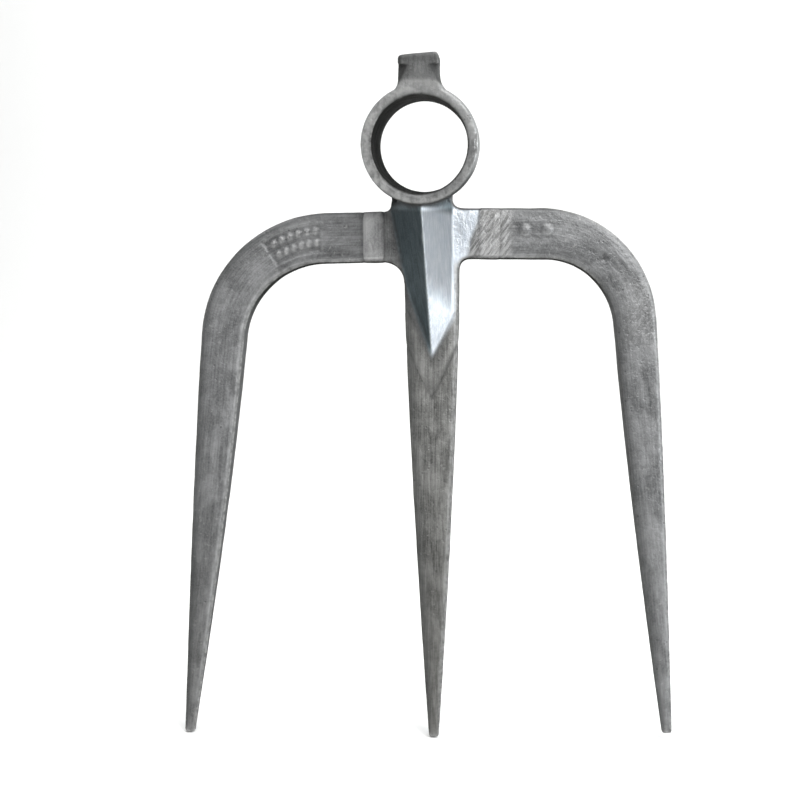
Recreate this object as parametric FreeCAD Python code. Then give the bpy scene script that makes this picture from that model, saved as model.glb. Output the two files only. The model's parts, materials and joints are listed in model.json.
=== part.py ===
import FreeCAD, Part
import math
import os

# Fork hoe head: three forged tines on a round handle eye, in millimetres.
#
# Row frame: the origin is the centre of the handle eye. +Y runs along the eye, away from the user,
# +X is to the right as the user's side is looked at, and +Z is up, towards the striking poll.
# Tine frame: the crossbar and tines are drawn upright and flat, then leaned to the eye. Its origin is
# the middle of the crossbar, +X is right, +Z is up along the tines and -Y is the user's side.
#
# The head is four forgings, the eye hub and three tines, butted and welded. The whole outer form is
# made first, then cut at the joints, so that every piece meets its neighbours face to face.

V = FreeCAD.Vector

# ---- driving dimensions ----------------------------------------------------------------------------

# Handle eye: a ring with a plain round bore
EYE_BORE = 40.0
EYE_LENGTH = 50.0
EYE_WALL_RIM = 4.2          # wall at both rims
EYE_WALL_MID = 5.0          # wall at mid length, where the forging dies met
EYE_RIM_ROUND = 1.3
BORE_CHAMFER = 0.7

# Poll: the striking block on top of the eye, with its front in line with the eye's near rim
POLL_WIDTH = 16.6
POLL_RISE = 11.8            # from the top of the eye to the striking face
POLL_DEPTH = 22.0           # along the eye
POLL_HEAD = 4.8             # height of the square head above the bevelled waist
POLL_SLOPE = 4.0            # the striking face falls to the left, in degrees
POLL_BEVEL = 4.6            # bevel on the waist's upright corners, just under the head
POLL_ROUND = 1.6            # rounding of the head's edges
POLL_SINK = 0.5             # the poll's sweeps end this far inside the eye's skin
LEFT_SWEEP = 6.0            # radii of the sweeps from the waist's sides into the eye
RIGHT_SWEEP = 12.0

# Crossbar and tines
BAR_HEIGHT = 22.9           # height of the crossbar
BAR_THICKNESS = 11.0
BAR_ROUND = 1.5             # rounding along the bars' long edges
DRAFT = 5.0                 # slope of the bars' sides from the parting line, in degrees
TIP_WIDTH = 4.6
TIP_THICKNESS = 4.2
TIP_STEP = 0.9              # length of the blunt point's rounded end
TAPER_POWER = 1.45          # above 1, a tine keeps its width and narrows towards its point
TINE_LEAN = 9.0             # lean of the tines to the eye, towards the user, in degrees
TINE_CURVE = 2300.0         # radius of the tines' slight curve towards the user

CENTRE_WIDTH = 25.4         # width of the centre tine under the crossbar
CENTRE_LENGTH = 226.0       # from the crossbar's middle to the point
CENTRE_LEAN = 0.2           # sideways lean of the centre tine, in degrees

# Each side tine is one bar: a straight arm, a bend and a tapered tine. drop is how far its arm lies
# under the crossbar's middle, droop is the arm's fall and splay the tine's outward lean in degrees,
# reach is the arm's length to the bend, across and down are the half axes of the bend's elliptical
# centre line, shoulder is the width where the taper starts, and depth is how far the point lies under
# the crossbar's middle.
LEFT_BAR = dict(
    drop=1.2, droop=0.6, reach=48.0, across=48.0, down=47.5, splay=5.0, shoulder=20.4, depth=225.0,
)
RIGHT_BAR = dict(
    drop=0.0, droop=0.9, reach=50.0, across=41.6, down=42.5, splay=4.3, shoulder=18.8, depth=221.0,
)

# Hub: what ties the eye to the bars
TINE_OFFSET = 3.3           # the tines' middle lies this far right of the eye's
BACK_INSET = 3.5            # the crossbar's back lies this far inside the eye's far rim
EYE_GAP = 3.0               # from the underside of the eye to the top of the crossbar
NECK_LEFT = 14.6            # half widths of the neck, from the eye's middle
NECK_RIGHT = 12.6
NECK_INSET = 0.8            # the neck's back lies this far inside the crossbar's
LEFT_NECK_CROTCH = 2.6      # radius between the neck and the crossbar's top
RIGHT_NECK_CROTCH = 4.2
LEFT_CROTCH = 9.0           # radius between the arm and the centre tine
RIGHT_CROTCH = 4.2
CROTCH_INSET = 0.35         # the crotches' faces lie this far inside the bars'

# Gusset: the ridge that braces the centre tine to the eye, with two ground facets
RIDGE_INSET = 5.0           # the ridge starts this far behind the eye's near rim
GUSSET_FOOT = 56.0          # the ridge runs out this far below the crossbar's middle
# Each facet's outer edge runs down the crossbar to a knee, then in to the foot. top and knee are
# distances from the tines' middle, and depth is the knee's distance below the crossbar's middle.
LEFT_FACET = dict(top=18.9, knee=11.3, depth=24.0)
RIGHT_FACET = dict(top=9.3, knee=10.2, depth=38.0)
FACETS = ((-1, LEFT_FACET), (1, RIGHT_FACET))
GUSSET_SINK = 0.5           # the facets reach this far into the bars' faces

# Weld joints: grooves from both faces that meet at a thin land, filled and dressed flush
ARM_WELD_AT = 26.0          # distance of each arm's joint from the crossbar's middle
WELD_FACE = 9.6             # width of the weld metal at the surface of an arm
SCARF_FACE = 7.4            # the same on the centre tine
WELD_ROOT = 0.8             # width at the land
WELD_LAND = 1.6             # thickness of the land, where the forgings touch
SCARF_POINT = 66.0          # point of the centre tine's V joint, below the crossbar's middle
SCARF_SHOULDER = 39.5       # where the V meets the tine's edges, below the crossbar's middle

# Marks: a bare recessed panel on the left arm's bend, and a dimple on the right one
PANEL_START = 2.0           # headings of the bend where the panel starts and ends, in degrees
PANEL_END = 32.0
PANEL_HEIGHT = 13.0
PANEL_SINK = 0.6
DIMPLE_RADIUS = 1.2
DIMPLE_DEPTH = 0.85
DIMPLE_TURN = 40.0          # how far round the right bend the dimple lies, in degrees

# ---- worked out from the values above --------------------------------------------------------------

BORE_RADIUS = EYE_BORE / 2
EYE_RADIUS_RIM = BORE_RADIUS + EYE_WALL_RIM
EYE_RADIUS_MID = BORE_RADIUS + EYE_WALL_MID
EYE_HALF = EYE_LENGTH / 2
HALF_THICKNESS = BAR_THICKNESS / 2
BAR_TOP = BAR_HEIGHT / 2
LEAN = math.radians(TINE_LEAN)
REACH = 400.0               # longer than the whole head, for cutting tools

# The crossbar's top back edge lies BACK_INSET inside the eye's far rim and EYE_GAP under the eye.
TINE_ORIGIN = V(
    TINE_OFFSET,
    EYE_HALF - BACK_INSET - HALF_THICKNESS * math.cos(LEAN) - BAR_TOP * math.sin(LEAN),
    -(EYE_RADIUS_MID + EYE_GAP) - BAR_TOP * math.cos(LEAN) + HALF_THICKNESS * math.sin(LEAN),
)
TO_ROW = FreeCAD.Placement(TINE_ORIGIN, FreeCAD.Rotation(V(1, 0, 0), -TINE_LEAN))


def in_tine_frame(x, y, z):
    """A row-frame point as the tine frame sees it."""
    return TO_ROW.inverse().multVec(V(x, y, z))


# ---- small helpers ---------------------------------------------------------------------------------


def line(start, end):
    return Part.makeLine(start, end)


def arc(start, through, end):
    return Part.Arc(start, through, end).toShape()


def polygon(points):
    """Closed wire through the points."""
    return Part.makePolygon(list(points) + [points[0]])


def prism(points, along):
    """Solid made by pushing a flat polygon along a direction."""
    return Part.Face(polygon(points)).extrude(along)


def block(low, high):
    """Box from its lowest to its highest corner."""
    size = high - low
    return Part.makeBox(size.x, size.y, size.z, low)


def bridge(first, last):
    """Straight-sided solid between two closed wires with the same number of corners."""
    return Part.makeLoft([first, last], True, True)


def joined(shapes):
    """One clean solid from shapes that overlap or touch."""
    whole = shapes[0].fuse(shapes[1:]).removeSplitter()
    if len(whole.Solids) != 1:
        raise ValueError("the shapes do not join into one solid")
    return whole.Solids[0]


# ---- bars: the arms and the tines ------------------------------------------------------------------


def bar_section(x, z, heading, width, thickness):
    """A bar's outline across its run: rounded corners, and sides that slope in from the parting line."""
    across = V(-math.sin(heading), 0, math.cos(heading))
    middle = V(x, -z * z / (2 * TINE_CURVE) if z < 0 else 0.0, z)
    half_width, half_thickness = width / 2, thickness / 2
    corner = min(BAR_ROUND, 0.3 * min(width, thickness))
    slope = math.tan(math.radians(DRAFT))
    face_n = half_width - half_thickness * slope - corner
    side_n = half_width - (half_thickness - corner) * slope
    soft_n = face_n + corner * math.sqrt(0.5)
    soft_y = half_thickness - corner * (1 - math.sqrt(0.5))

    def place(n, y):
        return middle + across * n + V(0, y, 0)

    corners = []
    for sign_n, sign_y in ((1, -1), (1, 1), (-1, 1), (-1, -1)):
        on_face = place(sign_n * face_n, sign_y * half_thickness)
        soft = place(sign_n * soft_n, sign_y * soft_y)
        on_side = place(sign_n * side_n, sign_y * (half_thickness - corner))
        corners.append((on_face, soft, on_side) if sign_n != sign_y else (on_side, soft, on_face))

    edges = []
    for i, (start, soft, end) in enumerate(corners):
        following = corners[(i + 1) % 4][0]
        edges.append(arc(start, soft, end))
        if i % 2 == 0:
            parting = place(half_width if i == 0 else -half_width, 0)
            edges += [line(end, parting), line(parting, following)]
        else:
            edges.append(line(end, following))
    return Part.Wire(edges)


def tine(x, z, heading, root_width, length):
    """A straight tine that tapers from the full bar thickness to a blunt point."""
    stations = 9
    sections = []
    for i in range(stations):
        share = i / (stations - 1)
        left = 1 - share ** TAPER_POWER
        sections.append(bar_section(
            x + length * share * math.cos(heading),
            z + length * share * math.sin(heading),
            heading,
            TIP_WIDTH + (root_width - TIP_WIDTH) * left,
            TIP_THICKNESS + (BAR_THICKNESS - TIP_THICKNESS) * left,
        ))
    end = length + TIP_STEP
    sections.append(bar_section(
        x + end * math.cos(heading),
        z + end * math.sin(heading),
        heading,
        TIP_WIDTH - TIP_STEP,
        TIP_THICKNESS - TIP_STEP,
    ))
    return Part.makeLoft(sections, True, True)


def bend_point(bar, heading, offset):
    """Point on a bar's bend where it runs at this heading below level, offset outwards."""
    across, down = bar["across"], bar["down"]
    normal = V(math.sin(heading), 0, math.cos(heading))
    size = math.hypot(across * normal.x, down * normal.z)
    centre = V(bar["reach"], 0, -down)
    return centre + V(across ** 2 * normal.x / size, 0, down ** 2 * normal.z / size) + normal * offset


def side_bar(bar):
    """A right-hand bar with its arm level: straight arm, bend and tine."""
    turn = math.radians(90 - bar["splay"] - bar["droop"])
    arm = bridge(
        bar_section(-BAR_TOP, 0, 0, BAR_HEIGHT, BAR_THICKNESS),
        bar_section(bar["reach"], 0, 0, BAR_HEIGHT, BAR_THICKNESS),
    )
    steps = 7
    sections = []
    for i in range(steps):
        share = i / (steps - 1)
        width = BAR_HEIGHT + (bar["shoulder"] - BAR_HEIGHT) * share
        point = bend_point(bar, turn * share, 0)
        sections.append(bar_section(point.x, point.z, -turn * share, width, BAR_THICKNESS))
    elbow = Part.makeLoft(sections, True, False)
    root = bend_point(bar, turn, 0)
    down = bar["depth"] - bar["drop"] + root.z
    length = down / math.cos(math.radians(bar["splay"]))
    return joined([arm, elbow, tine(root.x, root.z, -turn, bar["shoulder"], length)])


def bar_in_place(shape, bar, side):
    """A right-hand bar's shape, let down to its droop and drop, on its side of the head."""
    shape = shape.copy()
    shape.rotate(V(0, 0, 0), V(0, 1, 0), bar["droop"])
    shape.translate(V(0, 0, -bar["drop"]))
    return shape if side > 0 else shape.mirror(V(0, 0, 0), V(1, 0, 0))


def arm_edge(bar, x, upper):
    """Height of an arm's top or underside at a distance from the middle."""
    droop = math.radians(bar["droop"])
    edge = (BAR_TOP if upper else -BAR_TOP) / math.cos(droop)
    return edge - bar["drop"] - abs(x) * math.tan(droop)


def crotch(corner, leg_a, leg_b, radius):
    """Web that rounds the inside corner between two bars, whose sides run along the legs."""
    half_angle = leg_a.getAngle(leg_b) / 2
    run = radius / math.tan(half_angle)
    inward = (leg_a + leg_b).normalize()
    half = HALF_THICKNESS - CROTCH_INSET
    sink_a, sink_b = leg_a * BAR_ROUND * 2, leg_b * BAR_ROUND * 2
    outlines = []
    for y in (-half, 0, half):
        at = corner - (leg_a + leg_b) * (abs(y) * math.tan(math.radians(DRAFT))) + V(0, y, 0)
        start, end = at + leg_a * run, at + leg_b * run
        through = at + inward * (radius / math.sin(half_angle) - radius)
        outlines.append(Part.Wire([
            arc(start, through, end),
            line(end, end - sink_a),
            line(end - sink_a, at - sink_a - sink_b),
            line(at - sink_a - sink_b, start - sink_b),
            line(start - sink_b, start),
        ]))
    return Part.makeLoft(outlines, True, True)


# ---- hub: the eye, its poll, the neck and the gusset -----------------------------------------------


def eye_outside():
    """The eye without its bore, slightly barrelled, with rounded rims."""
    flat = EYE_RADIUS_RIM - EYE_RIM_ROUND
    soft = EYE_RADIUS_RIM - EYE_RIM_ROUND * (1 - math.sqrt(0.5))
    soft_end = EYE_HALF - EYE_RIM_ROUND * (1 - math.sqrt(0.5))
    straight = EYE_HALF - EYE_RIM_ROUND
    outline = Part.Wire([
        line(V(0, -EYE_HALF, 0), V(flat, -EYE_HALF, 0)),
        arc(V(flat, -EYE_HALF, 0), V(soft, -soft_end, 0), V(EYE_RADIUS_RIM, -straight, 0)),
        arc(V(EYE_RADIUS_RIM, -straight, 0), V(EYE_RADIUS_MID, 0, 0), V(EYE_RADIUS_RIM, straight, 0)),
        arc(V(EYE_RADIUS_RIM, straight, 0), V(soft, soft_end, 0), V(flat, EYE_HALF, 0)),
        line(V(flat, EYE_HALF, 0), V(0, EYE_HALF, 0)),
        line(V(0, EYE_HALF, 0), V(0, -EYE_HALF, 0)),
    ])
    return Part.Face(outline).revolve(V(0, 0, 0), V(0, 1, 0), 360)


def bore():
    """Cutting tool for the handle: a cylinder with a chamfer at both rims."""
    along = V(0, 1, 0)
    hole = Part.makeCylinder(BORE_RADIUS, EYE_LENGTH + 2, V(0, -EYE_HALF - 1, 0), along)
    wide = BORE_RADIUS + BORE_CHAMFER
    for end in (-1, 1):
        rim = V(0, end * EYE_HALF, 0)
        hole = hole.fuse(Part.makeCone(wide, BORE_RADIUS, BORE_CHAMFER, rim, along * -end))
    return hole


def poll():
    """Striking block: a square head on a bevelled waist that sweeps out into the eye."""
    top = EYE_RADIUS_MID + POLL_RISE
    waist = top - POLL_HEAD
    seat = EYE_RADIUS_RIM - POLL_SINK
    half = POLL_WIDTH / 2
    along = V(0, POLL_DEPTH, 0)
    front = V(0, -EYE_HALF, 0)
    edges = [line(V(-half, 0, waist), V(half, 0, waist))]
    for side, radius in ((1, RIGHT_SWEEP), (-1, LEFT_SWEEP)):
        height = math.sqrt((seat + radius) ** 2 - (half + radius) ** 2)
        centre = V(side * (half + radius), 0, height)
        on_waist = V(side * half, 0, height)
        on_eye = centre * (seat / (seat + radius))
        through = centre + ((on_waist - centre) + (on_eye - centre)).normalize() * radius
        inside = on_eye * (BORE_RADIUS / seat)
        edges += [
            line(V(side * half, 0, waist), on_waist),
            arc(on_waist, through, on_eye),
            line(on_eye, inside),
            line(inside, V(0, 0, BORE_RADIUS / 2)),
        ]
    outline = Part.Wire(Part.sortEdges(edges)[0])
    outline.translate(front)
    body = Part.Face(outline).extrude(along)
    on_rim = [e for e in body.Edges if e.BoundBox.YMax < -EYE_HALF + EYE_RIM_ROUND]
    body = body.makeFillet(EYE_RIM_ROUND, [e for e in on_rim if isinstance(e.Curve, Part.Circle)])

    fall = POLL_WIDTH * math.tan(math.radians(POLL_SLOPE))
    corners = [V(-half, 0, waist), V(half, 0, waist), V(half, 0, top), V(-half, 0, top - fall)]
    head = prism([p + front for p in corners], along)
    upper = [e for e in head.Edges if e.CenterOfMass.z > waist + POLL_ROUND / 2]
    return joined([body.cut(waist_bevels(waist)), head.makeFillet(POLL_ROUND, upper)])


def waist_bevels(waist):
    """Cutters that take the waist's four upright corners off below the head, less towards the eye."""
    half = POLL_WIDTH / 2
    cutters = []
    for side in (-1, 1):
        for end, y in ((-1, -EYE_HALF), (1, -EYE_HALF + POLL_DEPTH)):
            on_end = V(side * (half - POLL_BEVEL), y, waist)
            on_side = V(side * half, y - end * POLL_BEVEL, waist)
            run = (on_side - on_end).normalize() * POLL_WIDTH
            outward = V(side, end, 0) * POLL_DEPTH
            start, stop = on_end - run, on_side + run
            spread = V(side * POLL_BEVEL, 0, EYE_RADIUS_RIM - waist) * 1.5
            cutters.append(prism([start, stop, stop + outward, start + outward], spread))
    return cutters


def neck():
    """Block between the underside of the eye and the crossbar, in the tine frame."""
    top = in_tine_frame(0, EYE_HALF, -BORE_RADIUS + EYE_WALL_RIM).z
    return block(
        V(-TINE_OFFSET - NECK_LEFT, -HALF_THICKNESS + GUSSET_SINK, BAR_TOP - BAR_ROUND * 3),
        V(-TINE_OFFSET + NECK_RIGHT, HALF_THICKNESS - NECK_INSET, top),
    )


def gusset():
    """Ridge with two twisted facets, from under the eye's near rim to its foot on the centre tine."""
    depth = -HALF_THICKNESS + GUSSET_SINK
    under_eye = -EYE_RADIUS_RIM + EYE_WALL_RIM / 2
    crest = in_tine_frame(0, -EYE_HALF + RIDGE_INSET, under_eye)
    shoulder = in_tine_frame(0, 0, under_eye).z
    foot = V(0, depth, -GUSSET_FOOT)
    tops = [V(side * facet["top"], depth, shoulder) for side, facet in FACETS]
    knees = [V(side * facet["knee"], depth, -facet["depth"]) for side, facet in FACETS]
    knee_height = (knees[0].z + knees[1].z) / 2
    at_knees = crest + (foot - crest) * ((crest.z - knee_height) / (crest.z - foot.z))
    high = polygon([tops[0], crest, tops[1]])
    low = polygon([knees[0], at_knees, knees[1]])
    return joined([bridge(high, low), Part.makeLoft([low, Part.Vertex(foot)], True, True)])


# ---- weld joints -----------------------------------------------------------------------------------


def arm_groove(x, front):
    """Region of weld metal across an arm on one face: a groove that opens to the surface."""
    sign = -1 if front else 1
    land, skin = sign * WELD_LAND / 2, sign * HALF_THICKNESS
    outer = skin + sign * BAR_THICKNESS
    low, high = -BAR_HEIGHT, BAR_TOP + EYE_GAP / 2
    half_root, half_face = WELD_ROOT / 2, WELD_FACE / 2
    outline = [
        V(x - half_root, land, low),
        V(x + half_root, land, low),
        V(x + half_face, skin, low),
        V(x + half_face, outer, low),
        V(x - half_face, outer, low),
        V(x - half_face, skin, low),
    ]
    return prism(outline, V(0, 0, high - low))


def scarf_line(rise):
    """The V joint's line across the centre tine, raised by rise, as left, point and right."""
    half = CENTRE_WIDTH / 2
    slope = (SCARF_POINT - SCARF_SHOULDER) / half
    wide = half + WELD_FACE / 2
    shoulder = -SCARF_POINT + slope * wide + rise
    return V(-wide, 0, shoulder), V(0, 0, -SCARF_POINT + rise), V(wide, 0, shoulder)


def scarf_rise(width):
    """How far a weld edge lies above the V joint's line, for a weld of this width across its run."""
    slope = (SCARF_POINT - SCARF_SHOULDER) / (CENTRE_WIDTH / 2)
    return width / 2 * math.hypot(1, slope)


def scarf_groove(front):
    """Region of weld metal along the centre tine's V joint on one face."""
    sign = -1 if front else 1
    wires = []
    for depth, width in (
        (WELD_LAND / 2, WELD_ROOT),
        (HALF_THICKNESS, SCARF_FACE),
        (HALF_THICKNESS + BAR_THICKNESS, SCARF_FACE),
    ):
        rise = scarf_rise(width)
        outline = list(scarf_line(rise)) + list(reversed(scarf_line(-rise)))
        wires.append(polygon([p + V(0, sign * depth, 0) for p in outline]))
    return Part.makeLoft(wires, True, True)


def arm_region(side):
    """Everything of the bars outside one arm's joint."""
    top = BAR_TOP + EYE_GAP / 2
    if side > 0:
        return block(V(ARM_WELD_AT, -REACH, -REACH), V(REACH, REACH, top))
    return block(V(-REACH, -REACH, -REACH), V(-ARM_WELD_AT, REACH, top))


def scarf_region():
    """Everything of the centre tine below its V joint."""
    left, point, right = scarf_line(0)
    outline = [left, point, right, V(right.x, 0, -REACH), V(left.x, 0, -REACH)]
    return prism([p - V(0, REACH, 0) for p in outline], V(0, 2 * REACH, 0))


# ---- marks -----------------------------------------------------------------------------------------


def panel():
    """Shallow recess that follows the left bend's front face, while its arm still lies level."""
    start, end = math.radians(PANEL_START), math.radians(PANEL_END)
    half = PANEL_HEIGHT / 2

    def along(offset, headings):
        return arc(*[bend_point(LEFT_BAR, heading, offset) for heading in headings])

    outline = Part.Wire([
        along(half, (start, (start + end) / 2, end)),
        line(bend_point(LEFT_BAR, end, half), bend_point(LEFT_BAR, end, -half)),
        along(-half, (end, (start + end) / 2, start)),
        line(bend_point(LEFT_BAR, start, -half), bend_point(LEFT_BAR, start, half)),
    ])
    outline.translate(V(0, -HALF_THICKNESS + PANEL_SINK, 0))
    return Part.Face(outline).extrude(V(0, -BAR_THICKNESS, 0))


def dimple():
    """Small round pit in the right bend's front face."""
    centre = bend_point(RIGHT_BAR, math.radians(DIMPLE_TURN), 0)
    return Part.makeSphere(DIMPLE_RADIUS, centre - V(0, HALF_THICKNESS + DIMPLE_RADIUS - DIMPLE_DEPTH, 0))


# ---- the whole head, then its pieces ---------------------------------------------------------------


def whole_head():
    """The head's outer form in the tine frame, with every joint still closed."""
    left_bar = bar_in_place(side_bar(LEFT_BAR).cut(panel()), LEFT_BAR, -1)
    right_bar = bar_in_place(side_bar(RIGHT_BAR).cut(dimple()), RIGHT_BAR, 1)
    heading = math.radians(-90 + CENTRE_LEAN)
    top = bar_section(0, 0, heading, CENTRE_WIDTH, BAR_THICKNESS)
    root = bar_section(0, -BAR_TOP, heading, CENTRE_WIDTH, BAR_THICKNESS)
    centre = joined([
        bridge(top, root),
        tine(0, -BAR_TOP, heading, CENTRE_WIDTH, CENTRE_LENGTH - BAR_TOP),
    ])

    up, down = V(0, 0, 1), V(0, 0, -1)
    webs = []
    for bar, side, under, over, neck_half in (
        (LEFT_BAR, -1, LEFT_CROTCH, LEFT_NECK_CROTCH, NECK_LEFT),
        (RIGHT_BAR, 1, RIGHT_CROTCH, RIGHT_NECK_CROTCH, NECK_RIGHT),
    ):
        droop = math.radians(bar["droop"])
        outward = V(side * math.cos(droop), 0, -math.sin(droop))
        x = side * CENTRE_WIDTH / 2
        webs.append(crotch(V(x, 0, arm_edge(bar, x, False)), outward, down, under))
        x = -TINE_OFFSET + side * neck_half
        webs.append(crotch(V(x, 0, arm_edge(bar, x, True)), outward, up, over))

    eye_and_poll = joined([eye_outside(), poll()])
    eye_and_poll.Placement = TO_ROW.inverse()
    drilled = bore()
    drilled.Placement = TO_ROW.inverse()
    head = joined([eye_and_poll, neck(), gusset(), left_bar, right_bar, centre] + webs)
    return joined([head.cut(drilled)])


def pieces(head):
    """The head's forgings and weld beads, each a solid in the tine frame."""
    grooves = {
        "left_weld_front": arm_groove(-ARM_WELD_AT, True),
        "left_weld_back": arm_groove(-ARM_WELD_AT, False),
        "right_weld_front": arm_groove(ARM_WELD_AT, True),
        "right_weld_back": arm_groove(ARM_WELD_AT, False),
        "centre_weld_front": scarf_groove(True),
        "centre_weld_back": scarf_groove(False),
    }
    regions = {
        "left_tine": arm_region(-1),
        "right_tine": arm_region(1),
        "centre_tine": scarf_region(),
    }
    made = {name: head.common(groove) for name, groove in grooves.items()}
    forged = head.cut(list(grooves.values()))
    for name, region in regions.items():
        made[name] = forged.common(region)
    made["eye_hub"] = forged.cut(list(regions.values()))
    return made


def main():
    os.makedirs("parts", exist_ok=True)
    for name, shape in pieces(whole_head()).items():
        if len(shape.Solids) != 1:
            raise ValueError("%s is %d solids, not 1" % (name, len(shape.Solids)))
        solid = shape.Solids[0]
        solid.Placement = TO_ROW.multiply(solid.Placement)
        solid.exportStep(os.path.join("parts", name + ".step"))
        print("%-18s %10.1f mm3  valid %s" % (name, solid.Volume, solid.isValid()))


main()
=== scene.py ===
import json
import math

import bmesh
import bpy
import numpy as np
from mathutils import Matrix, Vector
from mathutils.kdtree import KDTree

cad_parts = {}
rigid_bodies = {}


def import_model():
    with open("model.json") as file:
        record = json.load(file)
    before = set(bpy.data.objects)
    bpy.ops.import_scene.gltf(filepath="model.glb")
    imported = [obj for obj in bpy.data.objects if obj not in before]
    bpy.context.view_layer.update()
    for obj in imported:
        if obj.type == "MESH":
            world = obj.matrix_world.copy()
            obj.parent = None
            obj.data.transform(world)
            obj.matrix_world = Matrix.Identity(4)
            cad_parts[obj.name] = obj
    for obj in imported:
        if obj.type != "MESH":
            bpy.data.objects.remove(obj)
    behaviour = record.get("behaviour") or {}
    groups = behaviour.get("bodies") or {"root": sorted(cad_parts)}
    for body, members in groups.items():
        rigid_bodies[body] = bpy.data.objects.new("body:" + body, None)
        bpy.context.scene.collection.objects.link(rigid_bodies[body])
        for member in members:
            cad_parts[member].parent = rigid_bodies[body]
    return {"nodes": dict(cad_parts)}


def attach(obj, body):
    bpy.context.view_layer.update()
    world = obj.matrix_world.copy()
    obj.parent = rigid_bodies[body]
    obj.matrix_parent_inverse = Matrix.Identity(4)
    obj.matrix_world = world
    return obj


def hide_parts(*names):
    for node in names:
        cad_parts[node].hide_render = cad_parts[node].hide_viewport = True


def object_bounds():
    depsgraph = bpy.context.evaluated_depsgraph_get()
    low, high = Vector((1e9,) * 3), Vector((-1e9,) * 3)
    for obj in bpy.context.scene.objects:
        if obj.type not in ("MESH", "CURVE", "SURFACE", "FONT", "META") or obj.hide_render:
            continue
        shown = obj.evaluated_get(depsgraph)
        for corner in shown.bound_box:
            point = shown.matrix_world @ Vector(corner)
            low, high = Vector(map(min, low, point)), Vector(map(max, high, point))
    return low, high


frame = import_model()
cad_low, cad_high = [np.array(corner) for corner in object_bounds()]

# ==== Eye hub =======================================================================================
# The forging that holds the handle: a round eye with a striking poll on top and, under it, the middle
# of the crossbar and a ridged gusset. Drop-forged in carbon steel, then ground where it was trimmed.
# It is welded to three more forgings, so the head's skin is made whole first and cut at the joints.

MM = 0.001
LEAN = math.radians(9)                              # the bars lean this much towards the user
CROSSBAR = Vector((3.3, 14.28, -38.45)) * MM        # middle of the crossbar
# The tine frame starts there: X runs along the crossbar, Y through the bars, and Z up along the tines.
TO_ROW = Matrix.Translation(CROSSBAR) @ Matrix.Rotation(-LEAN, 4, "X")
HALF_THICKNESS = 5.5 * MM                           # of the bars
SKIN_STEP = 0.55 * MM                               # size of the skin's faces
EYE_BORE = 20 * MM                                  # radius
EYE_OUTER = 25 * MM                                 # radius
EYE_HALF_LENGTH = 25 * MM


def new_object(name, mesh):
    made = bpy.data.objects.new(name, mesh)
    bpy.context.scene.collection.objects.link(made)
    return made


def mesh_of(bm, name):
    mesh = bpy.data.meshes.new(name)
    bm.to_mesh(mesh)
    bm.free()
    return mesh


def evaluated(obj):
    """A plain mesh of the object with its modifiers applied. The modifiers are then removed."""
    graph = bpy.context.evaluated_depsgraph_get()
    mesh = bpy.data.meshes.new_from_object(obj.evaluated_get(graph), depsgraph=graph)
    obj.modifiers.clear()
    return mesh


def add(tree, kind, inputs=None, **settings):
    """A node with its settings, whose inputs are linked to other sockets or set to values."""
    node = tree.nodes.new(kind)
    for name, value in settings.items():
        setattr(node, name, value)
    for socket, value in (inputs or {}).items():
        if isinstance(value, bpy.types.NodeSocket):
            tree.links.new(value, node.inputs[socket])
        else:
            node.inputs[socket].default_value = value
    return node


def maths(tree, operation, *values):
    """Result of a Math node with its values linked or set in order."""
    return add(tree, "ShaderNodeMath", dict(enumerate(values)), operation=operation).outputs[0]


def geometry_tree(name, inputs):
    """Geometry tree with a geometry socket each way and named inputs, given as name: socket kind."""
    tree = bpy.data.node_groups.new(name, "GeometryNodeTree")
    face = tree.interface
    face.new_socket("Geometry", in_out="INPUT", socket_type="NodeSocketGeometry")
    for label, kind in inputs.items():
        face.new_socket(label, in_out="INPUT", socket_type="NodeSocket" + kind)
    face.new_socket("Geometry", in_out="OUTPUT", socket_type="NodeSocketGeometry")
    return tree, tree.nodes.new("NodeGroupInput").outputs, tree.nodes.new("NodeGroupOutput")


def with_tree(obj, tree, values):
    """Puts the tree on the object as a modifier and sets its inputs by their identifiers."""
    modifier = obj.modifiers.new(tree.name, "NODES")
    modifier.node_group = tree
    for item in tree.interface.items_tree:
        if item.in_out == "INPUT" and item.name in values:
            modifier[item.identifier] = values[item.name]


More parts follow.
